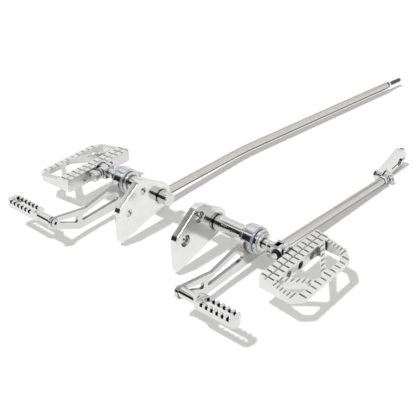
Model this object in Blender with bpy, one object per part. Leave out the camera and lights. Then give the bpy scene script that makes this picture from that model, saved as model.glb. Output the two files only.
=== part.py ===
"""Motorcycle forward controls: a left shift side and a right brake side with their linkage rods.

The frame: +X points outboard on the left side, +Y to the rear of the motorcycle and +Z up. The
origin is on the inboard mounting face of the left plate, midway between its two bolt holes.
Each side is modelled in millimetres with x as the distance outboard of its plate's inboard face,
so the right side is the same code mirrored. Sizes become metres when a mesh is placed.
"""

import math

import bmesh
import bpy
from mathutils import Matrix, Vector

MM = 0.001

# Fits, in millimetres
GAP = 0.3                       # between pieces that touch or run in each other
CUT = 1.0                       # how far a cutter runs past the face it cuts
SKIN = 0.8                      # metal left under a blind bore in a thin flange
WELD = 0.03                     # points closer than this become one after a cut

# Sides of the faceted rounds, by size
FINE = 28
MEDIUM = 20
SMALL = 14

# Mounting plate
PLATE_SPAN = 90.5               # between the inboard faces of the two plates
PLATE_THICK = 9.5
HOLE_SPACING = 35.0
HOLE_SLOPE = math.radians(37.2)  # the two bolt holes climb to the rear
HOLE_R = 5.0
COUNTERBORE_R = 8.0
COUNTERBORE_DEEP = 5.0
PLATE_TOP_R = 17.5              # round end about the upper hole
PLATE_REAR_R = 19.0             # round corner about the pivot
PLATE_TIP = (-28.5, -46.7)      # centre of the lower tip's round
PLATE_TIP_R = 3.5
PLATE_FRONT = (-30.4, -3.0)     # centre of the round at the top of the front edge
PLATE_CHAMFER = (-27.4, 1.2)    # centre of the round at the foot of the slanted edge
PLATE_EDGE_R = 1.6

# Pivot, along the axis through the rear corner of the plate
PIVOT_Y = 47.6
PIVOT_Z = -12.65
PIVOT_BOLT_R = 6.35
PIVOT_HEAD_R = 9.7
PIVOT_HEAD_LONG = 16.5
SPACER_R = 10.4
SPACER_LONG = 3.6
SLEEVE_R = 11.1
SLEEVE_LONG = 46.5
SLEEVE_FLANGE_R = 15.6          # flange that backs the inner washer
SLEEVE_FLANGE_LONG = 4.0
WASHER_THICK = 1.5
WASHER_R = 18.2
HUB_R = 18.5
HUB_LONG = 14.0
BUSHING_WALL = 2.4
COLLAR_R = 16.0
COLLAR_STEP_R = 12.6
COLLAR_LONG = 4.6
COLLAR_STEP_LONG = 2.4

# Lever, with y and z from the pivot
ARM_THICK = 5.0
ARM_INSET = 2.0                 # from the hub's inboard end to the arm
TIP_AT = (-136.0, -2.0)
TIP_R = 7.5
KNEE_AT = (-80.0, -6.5)         # hollow corner of the upper edge
KNEE_R = 12.0
SHOULDER_AT = (-5.0, 8.0)       # where the upper edge meets the hub
HEEL_AT = (-94.0, -33.5)        # lowest corner, under the knee
HEEL_R = 14.0
EYE_AT = (22.0, -25.5)          # rod eye behind and below the hub
EYE_R = 9.5
LONG_WINDOW = ((-91.0, -22.5), (-20.5, -20.5), (-20.5, -12.0), (-29.0, -4.5), (-87.0, -14.5))
LONG_WINDOW_R = 3.0
SHORT_WINDOW = ((-127.0, -6.8), (-97.5, -21.5), (-96.3, -12.0), (-127.5, -3.6))
SHORT_WINDOW_R = 1.5

# Toe peg
TOE_STEM_R = 6.6
TOE_STEM_LONG = 20.0
TOE_GRIP_LONG = 63.5
TOE_GRIP_FRONT = 8.5            # from the stem's axis to the front of the grip
TOE_GRIP_REAR = 9.7
TOE_GRIP_HIGH = 11.0
TOE_BAR = 5.4                   # width of each toothed bar beside the slot
TOE_END = 7.0                   # solid length at the outboard end of the slot
TOE_NECK = 10.0                 # and at its inboard end, where the stem joins
TOE_NOTCHES = 6
TOE_NOTCH_START = 15.9          # from the grip's inboard end to the first notch
TOE_NOTCH_PITCH = 7.6
TOE_NOTCH_WIDE = 4.0
TOE_NOTCH_DEEP = 4.0
TOE_BOLT_R = 4.0
TOE_HEAD_R = 5.6
TOE_HEAD_LONG = 2.6
TOE_SOCKET_R = 2.6

# Folding foot peg
MOUNT_SHAFT_R = 6.8
MOUNT_SHAFT_LONG = 16.1
MOUNT_GROOVE = 0.9
CLEVIS_WIDE = 19.0
CLEVIS_R = 8.2                  # half its height, and the round of its ears about the pin
CLEVIS_BACK = 10.0              # from the shoulder of the clevis to the folding pin
CLEVIS_SLOT = 9.0
TONGUE_R = 7.6
FLANGE_R = 11.0                 # round flange of the knuckle against the platform
FLANGE_THICK = 2.5
PIN_R = 4.0
PIN_HEAD_R = 7.8
PIN_HEAD_LONG = 1.8
KNOB_R = 8.5                    # grip on a neck at the front end of the right pin
KNOB_LONG = 8.0
KNOB_NECK_R = 5.0
KNOB_NECK_LONG = 6.0
CLIP_R = 7.0
CLIP_THICK = 1.2
PEG_TURN = {"left": math.radians(0.5), "right": math.radians(0.8)}  # each clevis on its shaft
PEG_DROP = 4.2                  # the platform's middle below the pivot axis
PEG_LONG = 121.0
PEG_DEEP = 62.5
PEG_BAR = 20.5                  # depth of the inner bar
PEG_SIDE = 8.0
PEG_RIM = 8.5
PEG_STRUT = 6.4
PEG_V_WIDE = 9.0                # half the distance between the struts where they meet the rim
PEG_V_AHEAD = 7.0               # how far that end of the V is ahead of the rim's middle
PEG_CHAMFER = 13.0
PEG_SWEEP = math.radians(8.0)   # the sides run forward as they run outboard
PEG_HIGH = 19.2
PEG_RIM_HIGH = 7.0
PEG_HOLE_R = 5.3
PEG_HOLE_STEP = 24.6
PEG_HOLE_AHEAD = 4.0            # how far the middle hole is ahead of the pivot axis
PEG_TOOTH_PITCH = 10.25
PEG_CROSS_PITCH = 5.2
PEG_CHANNEL_WIDE = 3.6          # lengthwise channel between the bar's two rows of teeth
PEG_NOTCH_WIDE = 2.8
PEG_NOTCH_DEEP = 2.4
PEG_CROSS_DEEP = 2.0            # notches along Y on the sides and struts
PEG_BOLT_R = 3.0
PEG_HEAD_LONG = 7.0

# Linkage
ROD_R = 6.35
BALL_R = 6.6
BALL_WIDE = 10.5
EYE_BODY_R = 9.3
EYE_BODY_WIDE = 8.0
EYE_SHANK_R = 4.0
EYE_SHANK_LONG = 20.0
ROD_BOLT_R = 3.0
ROD_HEAD_R = 5.6
ROD_HEAD_LONG = 5.0
ROD_NUT_R = 6.6
ROD_NUT_LONG = 5.0
JAM_NUT_R = 7.6
JAM_NUT_LONG = 5.0
ROD_CHAMFER = 1.8
SHIFT_ROD_X = 84.0              # centre of the shift rod's near joint
BRAKE_ROD_X = 33.0              # centre of the brake rod's near joint
FAR_JOINT = (97.0, 345.0, -47.0)
BRAKE_BEND = (31.5, 269.6, -43.4)
BRAKE_FAR = (-18.5, 642.6, -43.4)
STUD_R = 3.4
STUD_LONG = 42.0
STUD_NUT_R = 5.6
STUD_NUT_LONG = 9.0

# Splined arm at the far end of the shift rod
ARM_REACH = 48.0                # from the rod joint to the splined bore
ARM_SLOPE = math.radians(5.0)
ARM_EYE_R = 9.5
ARM_WIDE = 10.0
CLAMP_R = 16.0
CLAMP_OFFSET = (2.5, 3.5)       # centre of the clamp's round from the bore, along and above
SPLINE_R = 6.6
SPLINE_DEEP = 0.9
SPLINE_TEETH = 16
CLAMP_SLIT = 2.2
CLAMP_SLIT_LONG = 24.0          # how far the slit runs back from the bore towards the joint
PINCH_R = 2.6
PINCH_HEAD_R = 4.4
PINCH_HEAD_LONG = 5.0
PINCH_OFFSET = 12.2             # from the spline's centre outwards along the slit
FAR_HEAD_R = 4.6
FAR_HEAD_LONG = 4.0

# Places that follow from the sizes above
SPACER_X = PLATE_THICK + GAP
SLEEVE_X = SPACER_X + SPACER_LONG + GAP
INNER_WASHER_X = SLEEVE_X + SLEEVE_LONG + GAP
HUB_X = INNER_WASHER_X + WASHER_THICK + GAP
ARM_X = HUB_X + ARM_INSET
OUTER_WASHER_X = HUB_X + HUB_LONG + GAP
COLLAR_X = OUTER_WASHER_X + WASHER_THICK + GAP
SHAFT_X = COLLAR_X + COLLAR_LONG + COLLAR_STEP_LONG + GAP
PIN_X = SHAFT_X + MOUNT_SHAFT_LONG + CLEVIS_BACK
KNUCKLE_X = PIN_X + CLEVIS_R + GAP
PEG_X = KNUCKLE_X + FLANGE_THICK + GAP
TIP_Y = PIVOT_Y + TIP_AT[0]
TIP_Z = PIVOT_Z + TIP_AT[1]
EYE_Y = PIVOT_Y + EYE_AT[0]
EYE_Z = PIVOT_Z + EYE_AT[1]

POLISHED = (0.86, 0.86, 0.87)
BRUSHED = (0.62, 0.60, 0.58)
DARK = (0.05, 0.05, 0.055)
STEEL = (0.45, 0.45, 0.46)
BLUE = (0.36, 0.53, 0.68)
BRONZE = (0.55, 0.40, 0.22)


def arc(centre, radius, start, end, steps):
    """Points on an arc, both ends included; angles in degrees."""
    points = []
    for i in range(steps + 1):
        a = math.radians(start + (end - start) * i / steps)
        points.append((centre[0] + radius * math.cos(a), centre[1] + radius * math.sin(a)))
    return points


def circle(centre, radius, steps):
    return arc(centre, radius, 0, 360, steps)[:-1]


def rounded(corners, radii, steps=4):
    """A closed outline with each corner rounded to its radius."""
    points = []
    count = len(corners)
    for i, corner in enumerate(corners):
        here = Vector(corner)
        before = (Vector(corners[i - 1]) - here)
        after = (Vector(corners[(i + 1) % count]) - here)
        half = before.angle(after) / 2
        reach = min(radii[i] / math.tan(half), 0.49 * before.length, 0.49 * after.length)
        radius = reach * math.tan(half)
        middle = here + (before.normalized() + after.normalized()).normalized() * (
            radius / math.sin(half))
        start = here + before.normalized() * reach - middle
        turn = start.angle_signed(here + after.normalized() * reach - middle)
        for k in range(steps + 1):
            swung = start.copy()
            swung.rotate(Matrix.Rotation(-turn * k / steps, 2))
            points.append(tuple(middle + swung))
    return points


def belt(rounds, steps=5):
    """The outline of a band drawn tight round circles listed anticlockwise: (centre, radius)."""
    points = []
    count = len(rounds)
    normals = []
    for i in range(count):
        (a, ra), (b, rb) = rounds[i], rounds[(i + 1) % count]
        span = Vector(b) - Vector(a)
        lean = math.asin((ra - rb) / span.length)
        normals.append(math.atan2(span.y, span.x) - math.pi / 2 + lean)
    for i, (centre, radius) in enumerate(rounds):
        start, end = normals[i - 1], normals[i]
        while end < start:
            end += 2 * math.pi
        points += arc(centre, radius, math.degrees(start), math.degrees(end), steps)
    return points


def prism(loops, low, high, along="X"):
    """A solid with the given outlines (outer first, then holes), from low to high."""
    bm = bmesh.new()
    edges = []
    for loop in loops:
        verts = [bm.verts.new((u, v, low)) for u, v in loop]
        edges += [bm.edges.new((verts[i - 1], verts[i])) for i in range(len(verts))]
    bmesh.ops.triangle_fill(bm, edges=edges, use_beauty=True, normal=(0, 0, 1))
    grown = bmesh.ops.extrude_face_region(bm, geom=bm.faces[:], use_keep_orig=True)
    top = [g for g in grown["geom"] if isinstance(g, bmesh.types.BMVert)]
    bmesh.ops.translate(bm, verts=top, vec=(0, 0, high - low))
    turns = {
        "X": Matrix(((0, 0, 1), (1, 0, 0), (0, 1, 0))),
        "Y": Matrix(((1, 0, 0), (0, 0, 1), (0, 1, 0))),
        "Z": Matrix.Identity(3),
    }
    bmesh.ops.transform(bm, matrix=turns[along].to_4x4(), verts=bm.verts)
    bmesh.ops.recalc_face_normals(bm, faces=bm.faces)
    return bm


def turned(profile, steps, centre=(0, 0, 0), along="X", closed=False):
    """A solid of revolution; the profile is (distance along the axis, radius)."""
    bm = bmesh.new()
    verts = [bm.verts.new((a, r, 0)) for a, r in profile]
    edges = [bm.edges.new((verts[i], verts[i + 1])) for i in range(len(verts) - 1)]
    if closed:
        edges.append(bm.edges.new((verts[-1], verts[0])))
    bmesh.ops.spin(bm, geom=verts + edges, axis=(1, 0, 0), cent=(0, 0, 0),
                   angle=2 * math.pi, steps=steps)
    bmesh.ops.remove_doubles(bm, verts=bm.verts, dist=0.001)
    if along == "Y":
        bmesh.ops.transform(bm, matrix=Matrix.Rotation(math.pi / 2, 4, "Z"), verts=bm.verts)
    bmesh.ops.translate(bm, verts=bm.verts, vec=centre)
    bmesh.ops.recalc_face_normals(bm, faces=bm.faces)
    return bm


def rod_solid(low, high, radius, steps, centre=(0, 0, 0), along="X", chamfer=0.0):
    profile = [(low, 0), (low, radius - chamfer), (low + chamfer, radius),
               (high - chamfer, radius), (high, radius - chamfer), (high, 0)]
    if not chamfer:
        profile = [(low, 0), (low, radius), (high, radius), (high, 0)]
    return turned(profile, steps, centre, along)


def tube_solid(low, high, outer, inner, steps, centre=(0, 0, 0), along="X", chamfer=0.0):
    profile = [(low, inner), (low, outer - chamfer), (low + chamfer, outer),
               (high - chamfer, outer), (high, outer - chamfer), (high, inner)]
    if not chamfer:
        profile = [(low, inner), (low, outer), (high, outer), (high, inner)]
    return turned(profile, steps, centre, along, closed=True)


def hex_nut(low, high, radius, bore, centre=(0, 0), along="X"):
    """A six-sided nut with a round bore."""
    return prism([circle(centre, radius, 6), circle(centre, bore, SMALL)], low, high, along)


def stock(bm):
    """A scratch object from a bmesh, for a Boolean."""
    mesh = bpy.data.meshes.new("stock")
    bm.to_mesh(mesh)
    bm.free()
    item = bpy.data.objects.new("stock", mesh)
    bpy.context.scene.collection.objects.link(item)
    return item


def combine(base, tools, operation):
    """The bmesh left after joining or cutting the base with each tool in turn."""
    body = stock(base)
    helpers = []
    for tool in tools:
        helper = stock(tool)
        helper.hide_render = True
        helper.display_type = "WIRE"
        step = body.modifiers.new("step", "BOOLEAN")
        step.operation = operation
        step.solver = "EXACT"
        step.object = helper
        helpers.append(helper)
    shaped = body.evaluated_get(bpy.context.evaluated_depsgraph_get())
    mesh = bpy.data.meshes.new_from_object(shaped)
    result = bmesh.new()
    result.from_mesh(mesh)
    for item in helpers + [body]:
        bpy.data.objects.remove(item)
    bmesh.ops.remove_doubles(result, verts=result.verts, dist=WELD)
    bmesh.ops.dissolve_degenerate(result, dist=WELD / 3, edges=result.edges)
    return result


def cut(base, *tools):
    return combine(base, tools, "DIFFERENCE")


def join(base, *tools):
    return combine(base, tools, "UNION")


def merged(parts):
    """Several separate solids as one bmesh."""
    whole = bmesh.new()
    for part in parts:
        mesh = bpy.data.meshes.new("piece")
        part.to_mesh(mesh)
        part.free()
        whole.from_mesh(mesh)
        bpy.data.meshes.remove(mesh)
    return whole


def finish_material(name, colour, metallic, roughness):
    material = bpy.data.materials.new(name)
    material.use_nodes = True
    shader = material.node_tree.nodes["Principled BSDF"]
    shader.inputs["Base Color"].default_value = (*colour, 1.0)
    shader.inputs["Metallic"].default_value = metallic
    shader.inputs["Roughness"].default_value = roughness
    return material


def world_point(side, x, y, z):
    """A place on a side, in metres in the part's frame."""
    across = x if side == "left" else -PLATE_SPAN - x
    return Vector((across, y, z)) * MM


def body_empty(name, at, carrier=None):
    """The frame of a moving body: an empty on its joint's axis."""
    empty = bpy.data.objects.new(name, None)
    bpy.context.scene.collection.objects.link(empty)
    empty.location = at
    if carrier:
        empty.parent = carrier
        empty.location = at - Vector(carrier["joint_at"])
    empty["joint_at"] = list(at)
    return empty


def place(name, bm, side, colour, metallic=1.0, roughness=0.2, carrier=None, turn=0.0):
    """Put a finished bmesh on its side as the object of one node, turned about the pivot axis."""
    if turn:
        bmesh.ops.rotate(bm, verts=bm.verts, cent=(0, PIVOT_Y, PIVOT_Z),
                         matrix=Matrix.Rotation(turn, 3, "X"))
    if side == "right":
        bmesh.ops.transform(bm, matrix=Matrix.Diagonal((-1, 1, 1, 1)), verts=bm.verts)
        bmesh.ops.reverse_faces(bm, faces=bm.faces)
        bmesh.ops.translate(bm, verts=bm.verts, vec=(-PLATE_SPAN, 0, 0))
    bmesh.ops.scale(bm, verts=bm.verts, vec=(MM, MM, MM))
    if carrier:
        bmesh.ops.translate(bm, verts=bm.verts, vec=-Vector(carrier["joint_at"]))
    mesh = bpy.data.meshes.new(name)
    bm.to_mesh(mesh)
    bm.free()
    mesh.shade_smooth()
    mesh.set_sharp_from_angle(angle=math.radians(35))
    mesh.materials.append(finish_material(name, colour, metallic, roughness))
    item = bpy.data.objects.new(name, mesh)
    bpy.context.scene.collection.objects.link(item)
    item.parent = carrier
    return item


def mounting_plate(side):
    up = Vector((math.cos(HOLE_SLOPE), math.sin(HOLE_SLOPE))) * HOLE_SPACING / 2
    outline = belt([
        (PLATE_TIP, PLATE_TIP_R),
        ((PIVOT_Y, PIVOT_Z), PLATE_REAR_R),
        (tuple(up), PLATE_TOP_R),
        (PLATE_CHAMFER, PLATE_EDGE_R),
        (PLATE_FRONT, PLATE_EDGE_R),
    ])
    bores = [circle(tuple(up), HOLE_R, MEDIUM), circle(tuple(-up), HOLE_R, MEDIUM),
             circle((PIVOT_Y, PIVOT_Z), PIVOT_BOLT_R + GAP, MEDIUM)]
    plate = prism([outline] + bores, 0, PLATE_THICK)
    sinks = [rod_solid(PLATE_THICK - COUNTERBORE_DEEP, PLATE_THICK + CUT, COUNTERBORE_R, MEDIUM,
                       (0, at.x, at.y)) for at in (up, -up)]
    place(side + "_mount_plate", cut(plate, *sinks), side, POLISHED, roughness=0.25)


def pivot_stack(side):
    """The pieces threaded on the pivot axis, from the plate outwards."""
    axis = (0, PIVOT_Y, PIVOT_Z)
    bore = PIVOT_BOLT_R + GAP
    thin = PIVOT_BOLT_R - 2.0
    tail = SHAFT_X + MOUNT_SHAFT_LONG / 2 - GAP
    bolt = [(-GAP - PIVOT_HEAD_LONG, 0), (-GAP - PIVOT_HEAD_LONG, PIVOT_HEAD_R - 1.2),
            (-GAP - PIVOT_HEAD_LONG + 1.2, PIVOT_HEAD_R), (-GAP, PIVOT_HEAD_R),
            (-GAP, PIVOT_BOLT_R), (SHAFT_X - GAP, PIVOT_BOLT_R), (SHAFT_X - GAP, thin),
            (tail, thin), (tail, 0)]
    place(side + "_pivot_bolt", turned(bolt, MEDIUM, axis), side, POLISHED)
    place(side + "_spacer_ring",
          tube_solid(SPACER_X, SPACER_X + SPACER_LONG, SPACER_R, bore, MEDIUM, axis), side, POLISHED)
    end = SLEEVE_X + SLEEVE_LONG
    flange = end - SLEEVE_FLANGE_LONG
    sleeve = turned([(SLEEVE_X, bore), (SLEEVE_X, SLEEVE_R), (flange, SLEEVE_R),
                     (flange, SLEEVE_FLANGE_R - 0.6), (flange + 0.6, SLEEVE_FLANGE_R),
                     (end, SLEEVE_FLANGE_R), (end, bore)], FINE, axis, closed=True)
    place(side + "_pivot_sleeve", sleeve, side, POLISHED)
    for name, x in (("_inner_thrust_washer", INNER_WASHER_X),
                    ("_outer_thrust_washer", OUTER_WASHER_X)):
        place(side + name, tube_solid(x, x + WASHER_THICK, WASHER_R, bore, FINE, axis), side,
              BLUE, metallic=0.2, roughness=0.4)
    step = COLLAR_X + COLLAR_LONG
    collar = turned([(COLLAR_X, bore), (COLLAR_X, COLLAR_R - 0.6), (COLLAR_X + 0.6, COLLAR_R),
                     (step - 0.6, COLLAR_R), (step, COLLAR_R - 0.6), (step, COLLAR_STEP_R),
                     (step + COLLAR_STEP_LONG, COLLAR_STEP_R - 0.5),
                     (step + COLLAR_STEP_LONG, bore)], FINE, axis, closed=True)
    place(side + "_pivot_collar", collar, side, POLISHED)


def lever(side, name, body):
    """A thin windowed arm on a round hub, which turns on its bushing."""
    pivot = Vector((PIVOT_Y, PIVOT_Z))

    def at(point):
        return (pivot.x + point[0], pivot.y + point[1])

    tip, eye = Vector(TIP_AT), Vector(EYE_AT)
    corners = [
        (tip.x - TIP_R, tip.y - TIP_R), HEEL_AT, (eye.x - 2, eye.y - EYE_R),
        (eye.x + EYE_R, eye.y - EYE_R), (eye.x + EYE_R, eye.y + EYE_R + 1),
        (HUB_R - 1, HUB_R * 0.55), SHOULDER_AT, KNEE_AT, (tip.x - TIP_R, tip.y + TIP_R),
    ]
    radii = [TIP_R, HEEL_R, 20.0, EYE_R, EYE_R, 6.0, 2.0, KNEE_R, TIP_R]
    outline = [at(p) for p in rounded(corners, radii, 5)]
    long_window = [at(p) for p in rounded(LONG_WINDOW, [LONG_WINDOW_R] * 5, 3)]
    short_window = [at(p) for p in rounded(SHORT_WINDOW, [SHORT_WINDOW_R] * 4, 3)]
    holes = [circle(at(TIP_AT), TOE_BOLT_R + GAP, SMALL),
             circle(at(EYE_AT), ROD_BOLT_R + GAP, SMALL)]
    arm = prism([outline, long_window, short_window] + holes, ARM_X, ARM_X + ARM_THICK)
    axis = (0, PIVOT_Y, PIVOT_Z)
    hub = rod_solid(HUB_X, HUB_X + HUB_LONG, HUB_R, FINE + 4, axis, chamfer=0.5)
    seat = PIVOT_BOLT_R + 2 * GAP + BUSHING_WALL + GAP
    bore = rod_solid(HUB_X - CUT, HUB_X + HUB_LONG + CUT, seat, MEDIUM, axis)
    place(side + name, cut(join(arm, hub), bore), side, POLISHED, carrier=body)
    bush = tube_solid(HUB_X, HUB_X + HUB_LONG, seat - GAP, PIVOT_BOLT_R + GAP, MEDIUM, axis)
    place(side + "_lever_bushing", bush, side, BRONZE, roughness=0.35, carrier=body)


def toe_peg(side, body):
    start = ARM_X + ARM_THICK + GAP
    grip = start + TOE_STEM_LONG
    end = grip + TOE_GRIP_LONG
    axis = (0, TIP_Y, TIP_Z)
    stem = rod_solid(start, grip + TOE_NECK / 2, TOE_STEM_R, MEDIUM, axis)
    front, rear = TIP_Y - TOE_GRIP_FRONT, TIP_Y + TOE_GRIP_REAR
    outer = rounded([(grip, front), (end, front), (end, rear), (grip, rear)],
                    [8.8, 6.0, 9.0, 8.8], 4)
    slot = rounded([(grip + TOE_NECK, front + TOE_BAR), (end - TOE_END, front + TOE_BAR),
                    (end - TOE_END, rear - TOE_BAR), (grip + TOE_NECK, rear - TOE_BAR)],
                   [3.4] * 4, 3)
    low, high = TIP_Z - TOE_GRIP_HIGH / 2, TIP_Z + TOE_GRIP_HIGH / 2
    body_solid = join(prism([outer, slot], low, high, "Z"), stem)
    notches = []
    for i in range(TOE_NOTCHES):
        x = grip + TOE_NOTCH_START + i * TOE_NOTCH_PITCH
        half = TOE_NOTCH_WIDE / 2
        block = [(x - half, high - TOE_NOTCH_DEEP), (x + half, high - TOE_NOTCH_DEEP),
                 (x + half, high + 2 * CUT), (x - half, high + 2 * CUT)]
        notches.append(prism([block], front - CUT, rear + CUT, "Y"))
    thread = rod_solid(start - CUT, start + TOE_STEM_LONG * 0.7, TOE_BOLT_R + GAP, SMALL, axis)
    ribbed = cut(body_solid, merged(notches), thread)
    place(side + "_toe_peg", ribbed, side, POLISHED, carrier=body)
    head_end = ARM_X - GAP
    bolt = turned([(head_end - TOE_HEAD_LONG, 0), (head_end - TOE_HEAD_LONG, TOE_HEAD_R - 1.6),
                   (head_end - TOE_HEAD_LONG + 1.4, TOE_HEAD_R), (head_end, TOE_HEAD_R),
                   (head_end, TOE_BOLT_R), (start + TOE_STEM_LONG * 0.7 - GAP, TOE_BOLT_R),
                   (start + TOE_STEM_LONG * 0.7 - GAP, 0)], SMALL, axis)
    socket = rod_solid(head_end - TOE_HEAD_LONG - CUT, head_end, TOE_SOCKET_R, 6, axis)
    place(side + "_toe_peg_bolt", cut(bolt, socket), side, STEEL, carrier=body)


def peg_mount(side):
    axis = (0, PIVOT_Y, PIVOT_Z)
    shoulder = SHAFT_X + MOUNT_SHAFT_LONG
    middle = SHAFT_X + MOUNT_SHAFT_LONG * 0.5
    shaft = turned([(SHAFT_X, 0), (SHAFT_X, MOUNT_SHAFT_R), (middle - 1.2, MOUNT_SHAFT_R),
                    (middle - 0.6, MOUNT_SHAFT_R - MOUNT_GROOVE),
                    (middle + 0.6, MOUNT_SHAFT_R - MOUNT_GROOVE),
                    (middle + 1.2, MOUNT_SHAFT_R), (shoulder + CUT, MOUNT_SHAFT_R),
                    (shoulder + CUT, 0)], MEDIUM, axis)
    side_view = [(shoulder, PIVOT_Z + CLEVIS_R), (shoulder, PIVOT_Z - CLEVIS_R)]
    side_view += arc((PIN_X, PIVOT_Z), CLEVIS_R, -90, 90, 12)
    pin_hole = circle((PIN_X, PIVOT_Z), PIN_R + GAP, SMALL)
    half = CLEVIS_WIDE / 2
    block = prism([side_view, pin_hole], PIVOT_Y - half, PIVOT_Y + half, "Y")
    slot_end = PIN_X - TONGUE_R - 2 * GAP
    slot = prism([[(slot_end, PIVOT_Z - 2 * CLEVIS_R), (PIN_X + 2 * CLEVIS_R,
                   PIVOT_Z - 2 * CLEVIS_R), (PIN_X + 2 * CLEVIS_R, PIVOT_Z + 2 * CLEVIS_R),
                   (slot_end, PIVOT_Z + 2 * CLEVIS_R)]], PIVOT_Y - CLEVIS_SLOT / 2,
                 PIVOT_Y + CLEVIS_SLOT / 2, "Y")
    socket = rod_solid(SHAFT_X - CUT, middle, PIVOT_BOLT_R - 2.0 + GAP, SMALL, axis)
    place(side + "_peg_mount", cut(join(block, shaft), slot, socket), side, POLISHED,
          turn=PEG_TURN[side])


def foot_peg(side, body):
    """The platform on its knuckle, whose tongue folds up in the clevis about the pin."""
    pin_axis = (PIN_X, PIVOT_Y, PIVOT_Z)
    half = CLEVIS_SLOT / 2 - GAP
    tongue = arc((PIN_X, PIVOT_Z), TONGUE_R, 90, 270, 12)
    tongue += [(KNUCKLE_X + CUT, PIVOT_Z - TONGUE_R), (KNUCKLE_X + CUT, PIVOT_Z + TONGUE_R)]
    blade = prism([tongue, circle((PIN_X, PIVOT_Z), PIN_R + GAP, SMALL)],
                  PIVOT_Y - half, PIVOT_Y + half, "Y")
    centre = (0, PIVOT_Y - PEG_HOLE_AHEAD, PIVOT_Z - PEG_DROP)
    turn = PEG_TURN[side]
    flange = rod_solid(KNUCKLE_X, KNUCKLE_X + FLANGE_THICK, FLANGE_R, MEDIUM,
                       (0, PIVOT_Y, PIVOT_Z), chamfer=0.4)
    thread = rod_solid(KNUCKLE_X + SKIN, KNUCKLE_X + FLANGE_THICK + CUT, PEG_BOLT_R + GAP, SMALL,
                       centre)
    place(side + "_peg_knuckle", cut(join(flange, blade), thread), side, POLISHED,
          carrier=body, turn=turn)
    ear = CLEVIS_WIDE / 2 + GAP
    front = -1 if side == "right" else 1
    head = ear + PIN_HEAD_LONG
    tail = ear + CLIP_THICK + 3.0
    profile = [(-front * tail, 0), (-front * tail, PIN_R), (front * ear, PIN_R),
               (front * ear, PIN_HEAD_R), (front * head, PIN_HEAD_R)]
    if side == "right":
        neck = head + KNOB_NECK_LONG
        knob = neck + KNOB_LONG
        profile += [(-head, KNOB_NECK_R), (-neck, KNOB_NECK_R), (-neck, KNOB_R - 0.8),
                    (-neck - 0.8, KNOB_R), (-knob + 0.8, KNOB_R), (-knob, KNOB_R - 0.8),
                    (-knob, 0)]
    else:
        profile.append((head, 0))
    place(side + "_peg_pin", turned(profile, SMALL + 2, pin_axis, "Y"), side, STEEL,
          carrier=body, turn=turn)
    low, high = sorted((-front * ear, -front * (ear + CLIP_THICK)))
    clip = tube_solid(low, high, CLIP_R, PIN_R + GAP, SMALL, pin_axis, "Y")
    place(side + "_pin_clip", clip, side, DARK, roughness=0.4, carrier=body, turn=turn)

    platform = foot_platform()
    place(side + "_foot_peg", platform, side, POLISHED, roughness=0.25, carrier=body, turn=turn)
    seat = PEG_X + PEG_BAR * 0.45
    foot = KNUCKLE_X + SKIN + GAP
    bolt = turned([(foot, 0), (foot, PEG_BOLT_R), (seat, PEG_BOLT_R),
                   (seat, PEG_HOLE_R - GAP), (seat + PEG_HEAD_LONG - 0.6, PEG_HOLE_R - GAP),
                   (seat + PEG_HEAD_LONG, PEG_HOLE_R - GAP - 0.6),
                   (seat + PEG_HEAD_LONG, 0)], SMALL, centre)
    socket = rod_solid(seat + 2.5, seat + PEG_HEAD_LONG + CUT, 2.4, 6, centre)
    place(side + "_peg_bolt", cut(bolt, socket), side, DARK, roughness=0.4, carrier=body,
          turn=turn)


def foot_platform():
    """A swept, chamfered frame with a V of two struts, toothed on top and thinner at its rim."""
    lean = math.tan(PEG_SWEEP)
    half = PEG_LONG / 2

    def swept(points):
        return [(PEG_X + x, PIVOT_Y + y - x * lean) for x, y in points]

    outer = rounded([(0, -half), (PEG_DEEP - PEG_CHAMFER, -half), (PEG_DEEP, -half + PEG_CHAMFER),
                     (PEG_DEEP, half - PEG_CHAMFER), (PEG_DEEP - PEG_CHAMFER, half), (0, half)],
                    [1.5, 4.0, 4.0, 4.0, 4.0, 1.5], 3)
    rim = PEG_DEEP - PEG_RIM
    wall = half - PEG_SIDE
    foot = wall - PEG_STRUT
    corner = PEG_CHAMFER - PEG_SIDE * 0.35
    centre = []
    windows = []
    for sign in (-1, 1):
        start = Vector((PEG_BAR, sign * foot))
        end = Vector((rim, sign * PEG_V_WIDE - PEG_V_AHEAD))
        run = end - start
        shift = PEG_STRUT / 2 * run.length / run.x
        edge = [(start.x, start.y - sign * shift), (end.x, end.y - sign * shift)]
        centre += edge if sign < 0 else edge[::-1]
        shape = [(start.x, start.y + sign * shift), (start.x, sign * wall),
                 (rim - corner, sign * wall), (rim, sign * (wall - corner)),
                 (end.x, end.y + sign * shift)]
        windows.append(rounded(shape, [1.0, 2.0, 3.0, 3.0, 2.0], 3))
    middle = rounded(centre, [2.0, 3.0, 3.0, 2.0], 3)
    bm = prism([swept(outer), swept(middle)] + [swept(w) for w in windows], -1, 1, "Z")
    for v in bm.verts:
        share = (v.co.x - PEG_X) / PEG_DEEP
        tall = PEG_HIGH + (PEG_RIM_HIGH - PEG_HIGH) * share
        v.co.z = PIVOT_Z - PEG_DROP + v.co.z * tall / 2
    middle_y, middle_z = PIVOT_Y - PEG_HOLE_AHEAD, PIVOT_Z - PEG_DROP
    drills = [rod_solid(PEG_X - CUT, PEG_X + PEG_BAR + CUT, PEG_HOLE_R, SMALL + 2,
                        (0, middle_y + way * PEG_HOLE_STEP, middle_z)) for way in (-1, 1)]
    drills.append(rod_solid(PEG_X + PEG_BAR * 0.45 - GAP, PEG_X + PEG_BAR + CUT, PEG_HOLE_R,
                            SMALL + 2, (0, middle_y, middle_z)))
    drills.append(rod_solid(PEG_X - CUT, PEG_X + PEG_BAR, PEG_BOLT_R + GAP, SMALL,
                            (0, middle_y, middle_z)))
    return cut(bm, *drills, *platform_grooves())


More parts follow.
